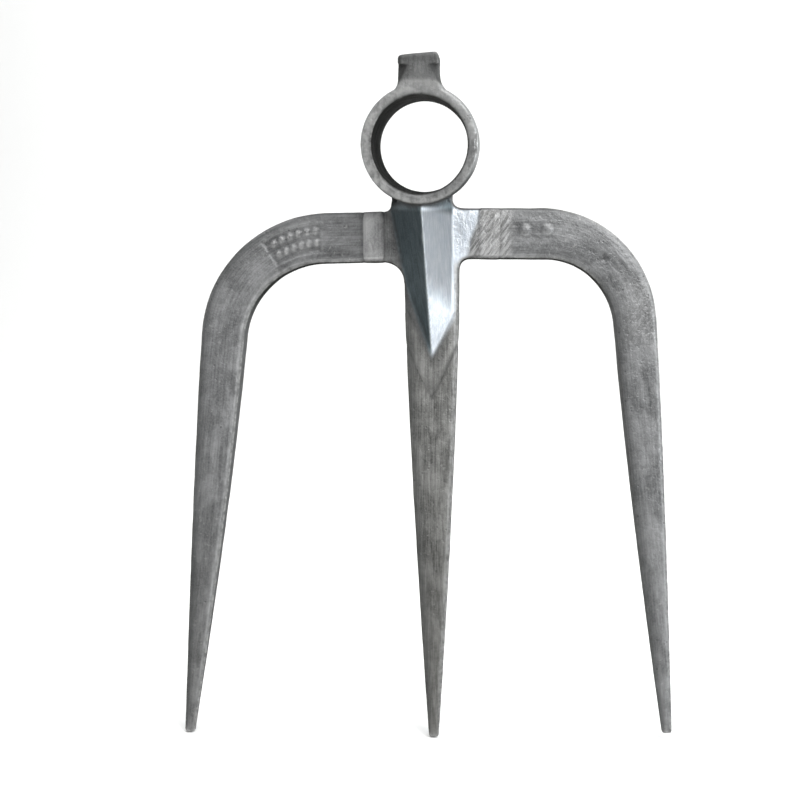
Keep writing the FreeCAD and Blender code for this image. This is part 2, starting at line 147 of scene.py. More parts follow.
def forging_tree():
    """What the dies and the scale leave on a forging: slow swells, a fine orange peel and pits."""
    tree, given, out = geometry_tree("forging_skin", {
        "Swell Size": "Float", "Swell Depth": "Float", "Peel Size": "Float", "Peel Depth": "Float",
        "Pits per Area": "Float", "Pit Radius": "Float", "Pit Depth": "Float", "Seed": "Int",
    })
    place = add(tree, "GeometryNodeInputPosition").outputs[0]
    normal = add(tree, "GeometryNodeInputNormal").outputs[0]

    def wander(size, depth, detail):
        """Offset that wanders evenly to both sides of the skin."""
        noise = add(tree, "ShaderNodeTexNoise", {
            "Vector": place, "W": given["Seed"], "Scale": maths(tree, "DIVIDE", 1.0, size), "Detail": detail,
        }, noise_dimensions="4D")
        return maths(tree, "MULTIPLY", maths(tree, "SUBTRACT", noise.outputs[0], 0.5), depth)

    points = add(tree, "GeometryNodeDistributePointsOnFaces", {
        "Mesh": given["Geometry"], "Density": given["Pits per Area"], "Seed": given["Seed"],
    })
    near = add(tree, "GeometryNodeProximity", {0: points.outputs["Points"]}, target_element="POINTS")
    blotch = add(tree, "ShaderNodeTexNoise", {"Vector": place, "Scale": 130.0, "Detail": 2.0}).outputs[0]
    radius = maths(tree, "MULTIPLY", given["Pit Radius"], maths(tree, "MULTIPLY", blotch, 2.0))
    pit = add(tree, "ShaderNodeMapRange", {
        "Value": near.outputs["Distance"], "From Min": 0.0, "From Max": radius,
        "To Min": maths(tree, "MULTIPLY", given["Pit Depth"], -1.0), "To Max": 0.0,
    }, interpolation_type="SMOOTHSTEP").outputs[0]
    total = maths(tree, "ADD", wander(given["Swell Size"], given["Swell Depth"], 1.0), pit)
    total = maths(tree, "ADD", total, wander(given["Peel Size"], given["Peel Depth"], 2.0))
    offset = add(tree, "ShaderNodeVectorMath", {0: normal, "Scale": total}, operation="SCALE").outputs[0]
    moved = add(tree, "GeometryNodeSetPosition", {"Geometry": given["Geometry"], "Offset": offset})
    tree.links.new(moved.outputs[0], out.inputs[0])
    return tree


def pip_tree():
    """A row of low round pips along an arc, as the die stamps them."""
    tree, given, out = geometry_tree("pip_row", {
        "Arc Radius": "Float", "First": "Float", "Sweep": "Float", "Count": "Int",
        "Pip Radius": "Float", "Pip Height": "Float",
    })
    path = add(tree, "GeometryNodeCurveArc", {
        "Radius": given["Arc Radius"], "Start Angle": given["First"], "Sweep Angle": given["Sweep"],
        "Resolution": 64,
    })
    points = add(tree, "GeometryNodeCurveToPoints", {"Curve": path.outputs[0], "Count": given["Count"]})
    ball = add(tree, "GeometryNodeMeshIcoSphere", {"Radius": 1.0, "Subdivisions": 3})
    size = add(tree, "ShaderNodeCombineXYZ", {
        "X": given["Pip Radius"], "Y": given["Pip Radius"], "Z": given["Pip Height"],
    })
    placed = add(tree, "GeometryNodeInstanceOnPoints", {
        "Points": points.outputs[0], "Instance": ball.outputs[0], "Scale": size.outputs[0],
    })
    real = add(tree, "GeometryNodeRealizeInstances", {0: placed.outputs[0]})
    finish = add(tree, "GeometryNodeSetMaterial", {"Geometry": real.outputs[0]})
    tree.links.new(finish.outputs[0], out.inputs[0])
    return tree


def pip_row(tree, arc_centre, sink, values):
    """Mesh of one row of pips on the bars' front face, around a centre given in the tine frame."""
    carrier = new_object("pips", bpy.data.meshes.new("pips"))
    with_tree(carrier, tree, values)
    mesh = evaluated(carrier)
    bpy.data.objects.remove(carrier)
    x, z = arc_centre
    upright = Matrix.Rotation(math.radians(90), 4, "X")
    mesh.transform(TO_ROW @ Matrix.Translation((x, -HALF_THICKNESS + sink, z)) @ upright)
    return mesh


def whole_head(extras):
    """Every forging and weld in one closed mesh, from copies of the nodes."""
    head = bmesh.new()
    for node in frame["nodes"].values():
        copy = bmesh.new()
        copy.from_mesh(node.data)
        bmesh.ops.remove_doubles(copy, verts=copy.verts, dist=MM / 1000)
        head.from_mesh(mesh_of(copy, "copy"))
    for mesh in extras:
        head.from_mesh(mesh)
    return new_object("skin", mesh_of(head, "skin"))


def coordinates(mesh, what="vertices", value="co"):
    """Vectors of a mesh's vertices, or of another of its collections, one row each."""
    items = getattr(mesh, what)
    flat = np.empty(len(items) * 3, np.float32)
    items.foreach_get(value, flat)
    return flat.reshape(-1, 3).astype(float)


def smooth_step(value, start, end):
    share = np.clip((value - start) / (end - start), 0, 1)
    return share * share * (3 - 2 * share)


def edges_of(mesh):
    """Numbers of the two vertices of each edge."""
    flat = np.empty(len(mesh.edges) * 2, np.int32)
    mesh.edges.foreach_get("vertices", flat)
    return flat.reshape(-1, 2)


def neighbours_mean(values, edges, times):
    """Values at each vertex after that many rounds of taking the mean of its neighbours."""
    ends = np.concatenate([edges[:, 0], edges[:, 1]])
    others = np.concatenate([edges[:, 1], edges[:, 0]])
    count = np.bincount(ends, minlength=len(values))
    columns = values.reshape(len(values), -1).T
    for _ in range(times):
        columns = [np.bincount(ends, column[others], len(values)) / count for column in columns]
    return np.stack(columns, 1).reshape(values.shape)


# Joints: the same places and widths as the welds themselves, in the tine frame.
ARM_JOINT = 26 * MM                                 # from the middle to each arm's joint
ARM_FACE = 9.6 * MM                                 # width of an arm's weld at the skin
ARM_LOW, ARM_HIGH = -20 * MM, 13 * MM               # just past the crossbar's two edges
SCARF_POINT = -66 * MM                              # lowest point of the centre tine's V joint
SCARF_SLOPE = (66 - 39.5) / 12.7                    # rise of the V to each side
SCARF_FACE = 7.4 * MM                               # width of its weld at the skin
SCARF_REACH = 17.5 * MM                             # just past the centre tine's sides
ROOT = 0.8 * MM                                     # gap at the bottom of a groove
LAND = 1.6 * MM                                     # what is left uncut between two grooves
CROWN = 0.10 * MM                                   # how far a dressed weld stands out
OUTLINE_DEPTH = 0.22 * MM                           # the fine line along its two edges
OUTLINE_WIDTH = 0.65 * MM

# The gusset's edges on the bars' front face, in the tine frame: heights from its foot up, then each x.
GUSSET_FOOT = -56 * MM
FACET_EDGES = {
    "left": ((GUSSET_FOOT, -24 * MM, 14 * MM), (0, -11.3 * MM, -18.9 * MM)),
    "right": ((GUSSET_FOOT, -38 * MM, 14 * MM), (0, 10.2 * MM, 9.3 * MM)),
    "ridge": ((GUSSET_FOOT, 11 * MM), (0, -3.3 * MM)),
}


def facet_edge(name, z):
    """x of one of the gusset's edges at a height."""
    heights, offsets = FACET_EDGES[name]
    return np.interp(z, heights, offsets)


def scarf_distance(x, z):
    """Distance from the middle of the centre tine's V joint, above it counted as positive."""
    return (z - SCARF_POINT - SCARF_SLOPE * np.abs(x)) / math.hypot(1, SCARF_SLOPE)


def joint_relief(x, z):
    """How far the dressed joints stand out of the skin, and how deep their outlines are, 0 to 1."""
    def bead(distance, half, line):
        """Relief and outlines of one weld, whose outlines are this strong."""
        crown = CROWN * np.sqrt(np.clip(1 - (distance / half) ** 2, 0, 1))
        outline = line * np.exp(-((np.abs(distance) - half) / OUTLINE_WIDTH) ** 2)
        return np.stack([crown - OUTLINE_DEPTH * outline, outline])

    arms = bead(np.abs(x) - ARM_JOINT, ARM_FACE / 2, np.where(x < 0, 0.6, 0.3))
    on_arms = (z > ARM_LOW) & (z < ARM_HIGH + 1 * MM)
    scarf = bead(scarf_distance(x, z), SCARF_FACE / 2, np.where(x > 0, 1.0, 0.6))
    on_scarf = (z < -36 * MM) & (np.abs(x) < SCARF_REACH - 1.5 * MM)
    return arms * on_arms + scarf * on_scarf


def zone_edge(z):
    """x of the slanting right-hand end of the bright zone on the crossbar."""
    return 15.4 * MM + 0.29 * (z + 11.8 * MM)


def near_eye(z):
    """1 where the gusset runs up under the eye and the eye's shadow is painted on it, and 0 lower down."""
    return smooth_step(z, 6.5 * MM, 11 * MM)


def above_foot(z):
    """1 above the gusset's foot, and 0 below it."""
    return smooth_step(z, GUSSET_FOOT - 1 * MM, GUSSET_FOOT + 1 * MM)


def ground_mask(x, y, z, under_eye):
    """Where a coarse wheel has cut to bright metal: the gusset's right facet and the bar beside it."""
    in_front = smooth_step(-y, HALF_THICKNESS - 0.8 * MM, HALF_THICKNESS - 0.2 * MM)
    ragged = 0.5 * MM * np.sin(z / (2.3 * MM))
    beside = smooth_step(zone_edge(z) + ragged - x, -0.6 * MM, 0.6 * MM)
    beside *= smooth_step(z, -16 * MM, -11 * MM)
    # Under the eye the bright metal gives way to painted shadow of the eye.
    facet = above_foot(z) * (1 - 0.9 * near_eye(z))
    on_bar = smooth_step(x - facet_edge("right", z), -0.2 * MM, 0.4 * MM)
    from_ridge = smooth_step(x - facet_edge("ridge", z), -0.15 * MM, 0.25 * MM)
    return in_front * from_ridge * (facet * (1 - on_bar) + beside * on_bar) * under_eye


def shade_mask(x, y, z, under_eye):
    """Painted shade in smooth blue-black: the gusset's left facet, and the eye's shadow on the gusset's top.
    """
    in_front = smooth_step(-y, HALF_THICKNESS - 0.6 * MM, HALF_THICKNESS + 0.2 * MM)
    from_ridge = smooth_step(facet_edge("ridge", z) - x, -0.1 * MM, 0.3 * MM)
    left = smooth_step(x - facet_edge("left", z), -0.3 * MM, 0.5 * MM) * above_foot(z)
    left *= from_ridge * (1 - 0.35 * near_eye(z))
    # Painted shadow of the eye on the gusset's top.
    top = 0.8 * near_eye(z) * smooth_step(facet_edge("right", z) + 1.5 * MM - x, 0, 2 * MM)
    return in_front * under_eye * np.maximum(left, (1 - from_ridge) * top)


def wheel_marks(x, z):
    """Coarse slanting strokes of the grinder, 0 to 1: on the right arm's joint, and fainter on the bend."""
    from_left = smooth_step(x - zone_edge(z), -0.5 * MM, 1.5 * MM)
    joint = from_left * smooth_step(38 * MM - x, 0, 5 * MM) * smooth_step(z, -14 * MM, -11 * MM)
    bend = smooth_step(x, 82 * MM, 92 * MM)
    bend *= smooth_step(z, -54 * MM, -44 * MM) * smooth_step(-z, 18 * MM, 26 * MM)
    return np.maximum(joint, 0.35 * bend)


PIPS = pip_tree()
# Two rows follow the sunk panel's curve on the left bend, around the bend's own centre.
PANEL_SINK = 0.6 * MM
PANEL_CENTRE = (-48 * MM, -48.7 * MM)
PANEL_ROWS = (44.9 * MM, 50.3 * MM)                 # radii
panel_pips = [
    pip_row(PIPS, PANEL_CENTRE, PANEL_SINK, {
        "Arc Radius": row, "First": math.radians(95), "Sweep": math.radians(23), "Count": 6,
        "Pip Radius": 1.6 * MM, "Pip Height": 1.5 * MM,
    })
    for row in PANEL_ROWS
]
# Two larger pips stand on the right arm, on an arc so wide that it is all but straight.
ARM_PIPS_CENTRE = (46.5 * MM, -199.5 * MM)
arm_pips = pip_row(PIPS, ARM_PIPS_CENTRE, 0, {
    "Arc Radius": 200 * MM, "First": math.radians(88.6), "Sweep": math.radians(2.8), "Count": 2,
    "Pip Radius": 2.5 * MM, "Pip Height": 1.6 * MM,
})
head = whole_head(panel_pips + [arm_pips])
remesh = head.modifiers.new("even_faces", "REMESH")
remesh.mode = "VOXEL"
remesh.voxel_size = SKIN_STEP
smooth = head.modifiers.new("die_radius", "SMOOTH")
smooth.factor = 0.5
smooth.iterations = 2
with_tree(head, forging_tree(), {
    "Swell Size": 9 * MM, "Swell Depth": 0.32 * MM, "Peel Size": 1.8 * MM, "Peel Depth": 0.10 * MM,
    "Pits per Area": 9000.0, "Pit Radius": 0.75 * MM, "Pit Depth": 0.14 * MM, "Seed": 7,
})
skin_mesh = evaluated(head)
bpy.data.objects.remove(head)

# Relief of the joints, and a small dent on the right bend.
DENT_X, DENT_Z = 76.6 * MM, -12.6 * MM
DENT_RADIUS = 1.4 * MM
DENT_DEPTH = 0.7 * MM
points = coordinates(skin_mesh)
normals = coordinates(skin_mesh, "vertex_normals", "vector")
turn = np.array(TO_ROW.to_3x3())
seen = (points - np.array(CROSSBAR)) @ turn         # the same points in the tine frame
seen_normals = normals @ turn
x, y, z = seen.T
edges = edges_of(skin_mesh)
relief, outlines = joint_relief(x, z)
dent = np.exp(-((x - DENT_X) ** 2 + (z - DENT_Z) ** 2) / DENT_RADIUS ** 2) * (y < 0)
points += normals * (relief - DENT_DEPTH * dent)[:, None]

# Faces fall away towards their edges, and the gusset's top is blended in under the eye.
FALL_ROUNDS = 36                                    # reaches about 2.5 mm over the skin's faces
CALMING_ROUNDS = 12                                 # keeps the pips and pits out of the fall
radius = np.hypot(points[:, 0], points[:, 2])
height = points[:, 2]
under_eye = smooth_step(radius, EYE_OUTER - 0.4 * MM, EYE_OUTER + 0.4 * MM) * (height < -EYE_BORE)
fall = ((neighbours_mean(points, edges, FALL_ROUNDS) - points) * normals).sum(1)
rounding = neighbours_mean(fall, edges, CALMING_ROUNDS)
gusset = smooth_step(-y, 6 * MM, 7 * MM) * (np.abs(x) < 20 * MM) * (z > GUSSET_FOOT - 1 * MM)
broad_face = smooth_step(np.abs(seen_normals[:, 1]), 0.45, 0.85) * (1 - 0.8 * gusset)
blend = under_eye * near_eye(z) * (np.abs(x) < 22 * MM)
points += normals * (0.85 * rounding * broad_face * (1 - blend) + 0.9 * fall * blend)[:, None]
points = np.clip(points, cad_low, cad_high)
skin_mesh.vertices.foreach_set("co", points.astype(np.float32).ravel())
skin_mesh.update()

# The numbers that the finish and its painted light and shade read at each vertex, from 0 to 1. First, how
# sharply the skin bends.
BROAD_ROUNDS = 10
LEAN_ROUNDS = 26
normals = coordinates(skin_mesh, "vertex_normals", "vector")
height = points[:, 2]
curve = -((neighbours_mean(points, edges, 1) - points) * normals).sum(1)
for _ in range(2):
    curve = (curve + neighbours_mean(curve, edges, 1)) / 2
broad = neighbours_mean(curve, edges, BROAD_ROUNDS)

# Which way the skin leans over a few millimetres: to the right and down, or to the left and up.
# A highlight is painted where it leans right and down, and shade where it leans left and up.
lean = neighbours_mean(normals, edges, LEAN_ROUNDS)
facing = smooth_step(-seen_normals[:, 1], 0.55, 0.9) * (1 - gusset)
painted_light = 0.8 * lean[:, 0] - 0.55 * lean[:, 2]
painted_dark = smooth_step(-painted_light, 0.06, 0.42)

# Black scale on the bars' sides and in the bore, with painted shade: faces turned down, the bore, the neck.
# Painted shade on the neck under the eye, darkest at its left.
neck_shade = under_eye * smooth_step(z, 9.5 * MM, 12 * MM) * (0.85 - 0.45 * smooth_step(x, -6 * MM, 6 * MM))
# The bore is black: scale, and painted shade in the recess.
in_bore = smooth_step(EYE_BORE + 0.7 * MM - radius, 0, 0.5 * MM) * (np.abs(points[:, 1]) < EYE_HALF_LENGTH)
side_face = smooth_step(1 - np.abs(seen_normals[:, 1]), 0.10, 0.45)
downward = smooth_step(-normals[:, 2], 0.1, 0.7)
# Below the eye the sides carry scale, with painted shade where they face down; higher up only faces turned
# down are darkened, as painted shade.
side_scale_and_shade = np.where(
    height < -EYE_OUTER - 2 * MM, side_face * (0.70 + 0.30 * downward), side_face * downward * 0.9,
)
stamped = (y < -4.6 * MM) & (np.abs(z + 3 * MM) < 10 * MM) & (np.abs(np.abs(x) - 56 * MM) < 26 * MM)
side_scale_and_shade = np.where(stamped, 0, side_scale_and_shade)
on_poll = (height > 20 * MM) & (radius > EYE_OUTER + 0.5 * MM)
poll_scale = 0.40 + 0.75 * smooth_step(np.abs(normals[:, 0]), 0.12, 0.50) + 0.15 * (height > 33 * MM)
side_scale_and_shade = np.where(on_poll, np.maximum(side_scale_and_shade, np.clip(poll_scale, 0, 0.8)), side_scale_and_shade)

# Edges are rubbed bare, less where shade is painted. The eye's rim in front is rubbed bare and
# carries a painted highlight, strongest at its left.
rim_wear_and_highlight = smooth_step(radius, EYE_BORE + 0.5 * MM, EYE_BORE + 2 * MM) * (radius < EYE_OUTER + 1 * MM)
rim_wear_and_highlight *= smooth_step(-normals[:, 1], 0.8, 0.97) * smooth_step(-points[:, 1], 20 * MM, 23 * MM)
rim_wear_and_highlight *= 0.55 + 0.45 * smooth_step(-x, 0, 20 * MM)
edge_wear = smooth_step(curve, 0.012 * MM, 0.05 * MM) * (1 - blend) * (1 - 0.6 * gusset) * (1 - 0.9 * painted_dark)
# Dirt and painted shade in creases and broad hollows.
sharp_hollow = smooth_step(-curve, 0.008 * MM, 0.05 * MM)
broad_hollow = smooth_step(-broad, 0.001 * MM, 0.012 * MM)
finish = {
    "wear_and_highlight": np.maximum(edge_wear, rim_wear_and_highlight),
    "hollow": np.maximum.reduce([sharp_hollow, broad_hollow, outlines, dent]),
    "scale_and_shade": np.maximum.reduce([in_bore, side_scale_and_shade, neck_shade, 0.55 * outlines]),
    # Painted highlight and painted shade from the skin's lean, on faces turned to the front.
    "painted_light": smooth_step(painted_light, 0.10, 0.40) * facing,
    "painted_dark": painted_dark * facing,
    "ground": ground_mask(x, y, z, under_eye),
    "shade": shade_mask(x, y, z, under_eye),
    "wheel": wheel_marks(x, z) * smooth_step(-seen_normals[:, 1], 0.7, 0.95),
}
finish = {name: neighbours_mean(values, edges, 2) for name, values in finish.items()}
skin_tree = KDTree(len(points))
for number, point in enumerate(points):
    skin_tree.insert(point, number)
skin_tree.balance()
skin = new_object("skin", skin_mesh)


def prism(name, outline, along):
    """Closed solid from a flat outline pushed along a direction, both in the tine frame."""
    bm = bmesh.new()
    corners = [bm.verts.new(corner) for corner in outline]
    face = bm.faces.new(corners)
    pushed = bmesh.ops.extrude_face_region(bm, geom=[face])["geom"]
    bmesh.ops.translate(bm, verts=[v for v in pushed if isinstance(v, bmesh.types.BMVert)], vec=along)
    bmesh.ops.recalc_face_normals(bm, faces=bm.faces)
    bmesh.ops.triangulate(bm, faces=bm.faces)
    bm.transform(TO_ROW)
    return new_object(name, mesh_of(bm, name))


def cut(name, base, tool, operation):
    """Mesh object of the base with the tool taken away or in common."""
    carrier = new_object(name, base.data.copy())
    modifier = carrier.modifiers.new("cut", "BOOLEAN")
    modifier.operation = operation
    modifier.object = tool
    modifier.solver = "MANIFOLD"
    mesh = evaluated(carrier)
    mesh.name = name
    bpy.data.objects.remove(carrier)
    return new_object(name, mesh)


def arm_groove(side, front):
    """Region of the weld metal across an arm, from its land out to past the skin."""
    sign = -1 if front else 1
    at = side * ARM_JOINT
    land, face, outer = sign * LAND / 2, sign * HALF_THICKNESS, sign * 3 * HALF_THICKNESS
    outline = [(px, py, ARM_LOW) for px, py in (
        (at - ROOT / 2, land), (at + ROOT / 2, land), (at + ARM_FACE / 2, face),
        (at + ARM_FACE / 2, outer), (at - ARM_FACE / 2, outer), (at - ARM_FACE / 2, face),
    )]
    return prism("groove", outline, (0, 0, ARM_HIGH - ARM_LOW))


def scarf_outline(width, depth):
    """Closed V across the centre tine, as wide across its run as the weld is at this depth."""
    rise = width / 2 * math.hypot(1, SCARF_SLOPE)
    bend = [(px, SCARF_SLOPE * abs(px)) for px in (-SCARF_REACH, 0, SCARF_REACH)]
    upper = [(px, depth, SCARF_POINT + pz + rise) for px, pz in bend]
    lower = [(px, depth, SCARF_POINT + pz - rise) for px, pz in reversed(bend)]
    return upper + lower


def scarf_groove(front):
    """Region of the weld metal along the centre tine's V joint."""
    sign = -1 if front else 1
    bm = bmesh.new()
    rings = []
    for depth, width in ((LAND / 2, ROOT), (HALF_THICKNESS, SCARF_FACE), (3 * HALF_THICKNESS, SCARF_FACE)):
        rings.append([bm.verts.new(corner) for corner in scarf_outline(width, sign * depth)])
    count = len(rings[0])
    for inner, outer in zip(rings, rings[1:]):
        for i in range(count):
            bm.faces.new((inner[i], inner[(i + 1) % count], outer[(i + 1) % count], outer[i]))
    bm.faces.new(rings[0])
    bm.faces.new(rings[-1])
    bmesh.ops.recalc_face_normals(bm, faces=bm.faces)
    bmesh.ops.triangulate(bm, faces=bm.faces)
    bm.transform(TO_ROW)
    return new_object("groove", mesh_of(bm, "groove"))


grooves = {
    "left_weld_front": arm_groove(-1, True),
    "left_weld_back": arm_groove(-1, False),
    "right_weld_front": arm_groove(1, True),
    "right_weld_back": arm_groove(1, False),
    "centre_weld_front": scarf_groove(True),
    "centre_weld_back": scarf_groove(False),
}
# What lies past each joint's middle belongs to the forging welded on there. The rest is the eye hub.
FAR = 400 * MM
SCARF_TOP = SCARF_POINT + SCARF_SLOPE * SCARF_REACH
regions = {
    "left_tine": prism("region", [
        (-FAR, -FAR, -FAR), (-ARM_JOINT, -FAR, -FAR), (-ARM_JOINT, FAR, -FAR), (-FAR, FAR, -FAR),
    ], (0, 0, FAR + ARM_HIGH)),
    "right_tine": prism("region", [
        (ARM_JOINT, -FAR, -FAR), (FAR, -FAR, -FAR), (FAR, FAR, -FAR), (ARM_JOINT, FAR, -FAR),
    ], (0, 0, FAR + ARM_HIGH)),
    "centre_tine": prism("region", [
        (-SCARF_REACH, -FAR, SCARF_TOP), (0, -FAR, SCARF_POINT), (SCARF_REACH, -FAR, SCARF_TOP),
        (SCARF_REACH, -FAR, -FAR), (-SCARF_REACH, -FAR, -FAR),
    ], (0, 2 * FAR, 0)),
}
made = {name: cut(name, skin, groove, "INTERSECT") for name, groove in grooves.items()}
rest = skin
for groove in grooves.values():
    rest = cut("rest", rest, groove, "DIFFERENCE")
for name, region in regions.items():
    made[name] = cut(name, rest, region, "INTERSECT")
    rest = cut("rest", rest, region, "DIFFERENCE")
made["eye_hub"] = rest
rest.name = "eye_hub_forging"


# Colours of what lies on the forged metal or shows through it, and of light and shade painted on it.
BARE_FLECK = (0.42, 0.42, 0.41)
# Painted highlight where the skin leans down and right.
PAINTED_HIGHLIGHT_GREY = (0.56, 0.56, 0.56)
# Bare metal on worn edges, also the painted highlight on the eye's front rim.
BARE_EDGE_AND_HIGHLIGHT = (0.48, 0.48, 0.47)
PIT_BLACK = (0.04, 0.04, 0.04)
# Dirt and painted shade in the hollows.
DIRT_AND_SHADE = (0.045, 0.045, 0.045)
# Painted shade where the skin leans up and left.
PAINTED_SHADE_GREY = (0.050, 0.052, 0.052)
# Black of the scale, also the painted shade under things, in the bore and on the neck.
BLACK_SCALE_AND_SHADE = (0.011, 0.011, 0.010)
TIP_BROWN = (0.050, 0.047, 0.042)
WHEEL_DARK, WHEEL_LIGHT = (0.20, 0.20, 0.195), (0.52, 0.52, 0.52)
GROUND_DARK, GROUND_LIGHT, GROUND_WASH = (0.68, 0.74, 0.81), (0.90, 0.94, 0.98), (0.62, 0.69, 0.77)
# Painted blue-black shade on the gusset's left facet and under the eye.
SHADE_BLUE_DARK, SHADE_BLUE_LIGHT = (0.115, 0.158, 0.180), (0.21, 0.275, 0.305)
WHEEL_SLANT = math.radians(35)
RIDGE_SLANT = math.radians(-6)
BROWN_FROM, BROWN_TO = -110 * MM, -240 * MM         # heights between which the points grow dull


def steel(name, dark, light, roughness, stroke, seed, dull=0.0):
    """Carbon steel as it leaves the forge and the tumbler, with ground metal, scale, worn edges and painted
    light and shade.

    stroke is the share of draw marks along the grain, and dull that of brown towards the points.
    """
    material = bpy.data.materials.new(name)
    material.use_nodes = True
    tree = material.node_tree
    tree.nodes.clear()
    place = add(tree, "ShaderNodeTexCoord").outputs["Object"]
    grain = add(tree, "ShaderNodeAttribute", attribute_name="grain").outputs["Vector"]

    def level(attribute):
        return add(tree, "ShaderNodeAttribute", attribute_name=attribute).outputs["Fac"]

    def noise(vector, size, detail=3.0, rough=0.55):
        """Noise whose marks are about this many millimetres wide."""
        return add(tree, "ShaderNodeTexNoise", {
            "Vector": vector, "W": seed, "Scale": 1 / (size * MM), "Detail": detail, "Roughness": rough,
        }, noise_dimensions="4D").outputs[0]

    def stretched(vector, longer, angle=0.0):
        """Coordinates in which a pattern is drawn out along Z, leaned towards +X by an angle."""
        return add(tree, "ShaderNodeMapping", {
            "Vector": vector, "Rotation": (0, angle, 0), "Scale": (1.0, 1.0, longer),
        }, vector_type="TEXTURE").outputs[0]

    def ranged(value, low, high, start=0.0, end=1.0):
        return add(tree, "ShaderNodeMapRange", {
            "Value": value, "From Min": low, "From Max": high, "To Min": start, "To Max": end,
        }, interpolation_type="SMOOTHSTEP").outputs[0]

    def mixed(share, first, second):
        """Mix of two colours, each given as a socket or as three numbers."""
        first, second = [
            value if isinstance(value, bpy.types.NodeSocket) else (*value, 1.0) for value in (first, second)
        ]
        return add(tree, "ShaderNodeMix", {0: share, 6: first, 7: second}, data_type="RGBA").outputs[2]

    def scaled(rgb, strength):
        return tuple(channel * strength for channel in rgb)

    def plus(first, second):
        return maths(tree, "ADD", first, second)

    def less(first, second):
        return maths(tree, "SUBTRACT", first, second)

    def times(first, second):
        return maths(tree, "MULTIPLY", first, second)

    # Mottle: clouds of thin scale, speckle, draw marks along the grain and small dark pits.
    clouds = ranged(noise(stretched(grain, 1.8), 7.0, 4.0, 0.55), 0.36, 0.64)
    blotches = ranged(noise(place, 2.4, 4.0, 0.7), 0.40, 0.62)
    speckle = ranged(noise(place, 0.8, 2.0), 0.35, 0.68)
    streaks = ranged(noise(stretched(grain, 24.0), 0.8, 3.0, 0.6), 0.38, 0.64)
    flecks = ranged(noise(place, 1.9, 1.0), 0.66, 0.74)
    cells = add(tree, "ShaderNodeTexVoronoi", {"Vector": place, "Scale": 1 / (3.4 * MM)}).outputs["Distance"]
    pits = times(ranged(cells, 0.20, 0.06), ranged(noise(place, 16.0, 1.0), 0.50, 0.60))
    tone = mixed(clouds, dark, light)
    tone = mixed(times(blotches, 0.25), tone, scaled(dark, 0.45))
    tone = mixed(times(speckle, 0.22), tone, scaled(light, 1.45))
    tone = mixed(stroke, tone, mixed(streaks, scaled(dark, 0.5), scaled(light, 1.5)))
    tone = mixed(times(flecks, 0.35), tone, BARE_FLECK)
    tone = mixed(times(pits, 0.5), tone, PIT_BLACK)

    # Brown towards the points, painted shade where the skin leans up and left, and a painted highlight
    # where it leans down and right.
    along = add(tree, "ShaderNodeSeparateXYZ", {0: place}).outputs["Z"]
    tone = mixed(ranged(along, BROWN_FROM, BROWN_TO, 0.0, dull), tone, TIP_BROWN)
    tone = mixed(times(level("painted_dark"), 0.65), tone, PAINTED_SHADE_GREY)
    painted_light = times(level("painted_light"), ranged(noise(grain, 3.0, 3.0), 0.30, 0.65, 0.15, 0.75))
    tone = mixed(painted_light, tone, PAINTED_HIGHLIGHT_GREY)

    # Grinder strokes: fine and coarse lines that slant across the right arm's joint.
    wheel = level("wheel")
    coarse = ranged(noise(stretched(place, 11.0, WHEEL_SLANT), 0.9, 3.0, 0.6), 0.36, 0.64)
    tone = mixed(times(wheel, 0.8), tone, mixed(coarse, WHEEL_DARK, WHEEL_LIGHT))

    # Ground facets, with long strokes down the ridge: the right bright and slightly blue, the left painted
    # blue-black shade.
    ground = level("ground")
    down = ranged(noise(stretched(place, 9.0, RIDGE_SLANT), 1.0, 3.0, 0.6), 0.3, 0.7)
    wash = ranged(noise(place, 6.0, 2.0), 0.35, 0.65)
    bright = mixed(times(wash, 0.3), mixed(down, GROUND_DARK, GROUND_LIGHT), GROUND_WASH)
    tone = mixed(ground, tone, bright)
    tone = mixed(level("shade"), tone, mixed(down, SHADE_BLUE_DARK, SHADE_BLUE_LIGHT))

    # Scale and painted shade, dirt and painted shade in the hollows, bare edges and a painted rim highlight.
    scale_and_shade = level("scale_and_shade")
    tone = mixed(scale_and_shade, tone, BLACK_SCALE_AND_SHADE)
    # Dirt and painted shade in the hollows and the dent, and dark weld outlines.
    hollow = times(level("hollow"), ranged(noise(place, 2.5), 0.25, 0.6, 0.20, 0.65))
    tone = mixed(times(hollow, less(1.0, times(ground, 0.8))), tone, DIRT_AND_SHADE)
    # Worn edges, and the painted highlight on the eye's front rim.
    wear_and_highlight = times(level("wear_and_highlight"), ranged(noise(place, 2.2), 0.35, 0.62, 0.20, 0.70))
    tone = mixed(wear_and_highlight, tone, BARE_EDGE_AND_HIGHLIGHT)

    # Scale is rough and hardly metallic, ground and worn metal is smoother.
    roughness = plus(plus(roughness - 0.10, times(clouds, 0.14)), times(speckle, 0.06))
    roughness = less(less(roughness, times(ground, 0.10)), times(wear_and_highlight, 0.12))
    roughness = plus(roughness, times(scale_and_shade, 0.35))
    metal = times(less(1.0, scale_and_shade), 0.75)
    gloss = times(less(1.0, times(scale_and_shade, 0.8)), 0.25)

    # Fine relief: grit, draw marks, blotches and pits, and the strokes of the wheel.
    relief = plus(times(noise(place, 0.9, 4.0, 0.6), 0.45), times(streaks, 0.6 * stroke))
    relief = less(less(relief, times(blotches, 0.6)), times(pits, 1.2))
    relief = plus(relief, times(times(coarse, wheel), 0.9))
    relief = plus(relief, times(times(down, ground), 0.3))
    bump = add(tree, "ShaderNodeBump", {"Strength": 0.8, "Distance": 0.20 * MM, "Height": relief})
    shader = add(tree, "ShaderNodeBsdfPrincipled", {
        "Base Color": tone, "Roughness": roughness, "Metallic": metal, "Normal": bump.outputs[0],
        "Specular IOR Level": gloss,
    })
    output = add(tree, "ShaderNodeOutputMaterial")
    tree.links.new(shader.outputs[0], output.inputs[0])
    return material


